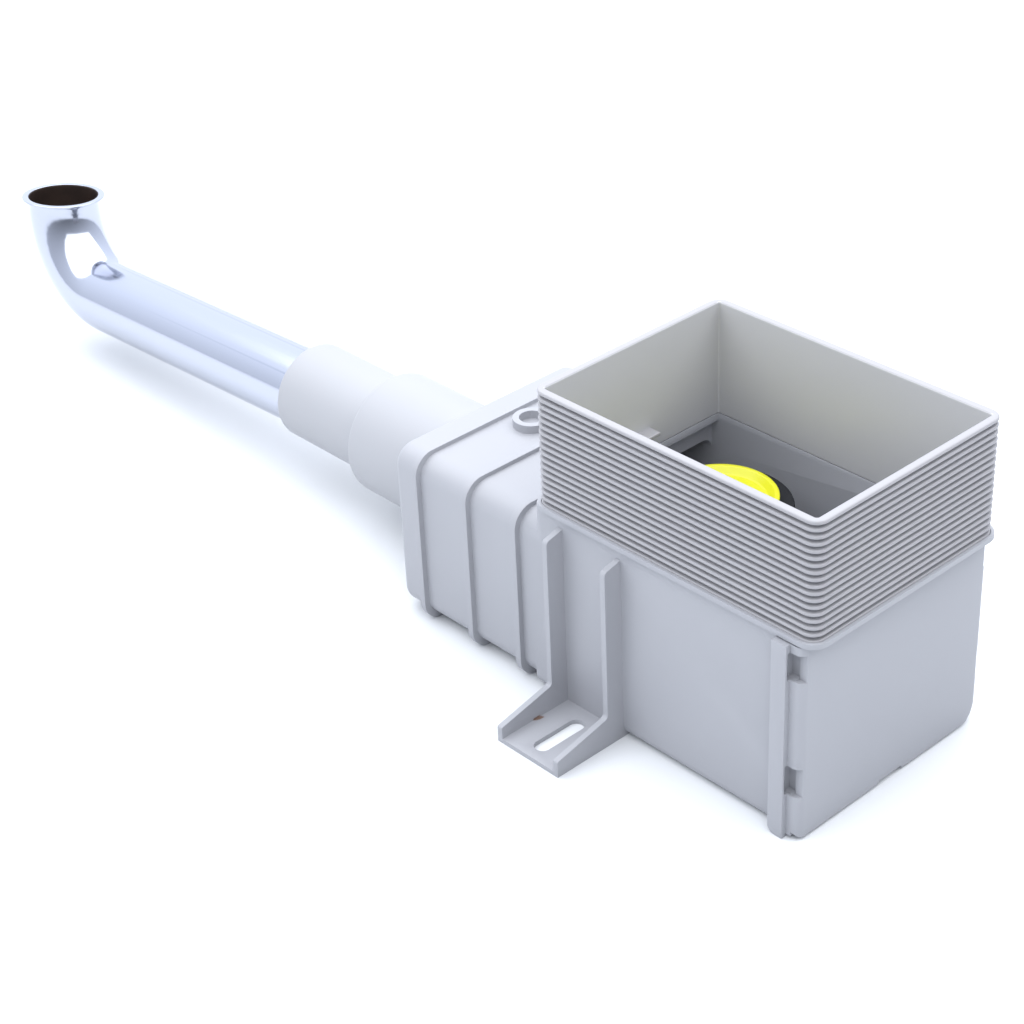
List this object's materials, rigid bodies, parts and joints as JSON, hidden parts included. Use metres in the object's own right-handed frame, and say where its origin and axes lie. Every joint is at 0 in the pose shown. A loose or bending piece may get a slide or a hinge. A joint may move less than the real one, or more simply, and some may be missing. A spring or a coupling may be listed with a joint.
{
  "type": "concealed basin trap",
  "caption": "Wall-box basin trap with ribbed plaster frame, capped inlet, slotted feet, stepped outlet spigot and bent chromed wall tube.",
  "frame": {"origin": "on the base plane, under the middle of the plaster frame's opening", "axes": "+Z out of the wall through the frame, -X along the outlet spigot and tube, Y across the box"},
  "size_m": [0.5074, 0.1534, 0.1218],
  "materials": {
    "grey_housing_plastic": "fine satin moulded",
    "grey_frame_plastic": "fine satin moulded",
    "white_spigot_plastic": "fine satin moulded",
    "chromed_brass": "polished",
    "yellow_plastic": "semi-gloss moulded",
    "black_rubber": "matt",
    "insert_plastic": "fine satin moulded"
  },
  "bodies": {
    "root": {"housing": "grey_housing_plastic", "end_cap": "grey_housing_plastic", "plaster_frame": "grey_frame_plastic", "outlet_spigot": "white_spigot_plastic", "wall_tube": "chromed_brass", "protective_cap": "yellow_plastic", "inlet_collar": "black_rubber", "trap_pot": "insert_plastic", "dip_tube": "insert_plastic", "branch_tube": "insert_plastic", "branch_seal": "black_rubber", "tube_seal": "black_rubber"}
  },
  "joints": []
}
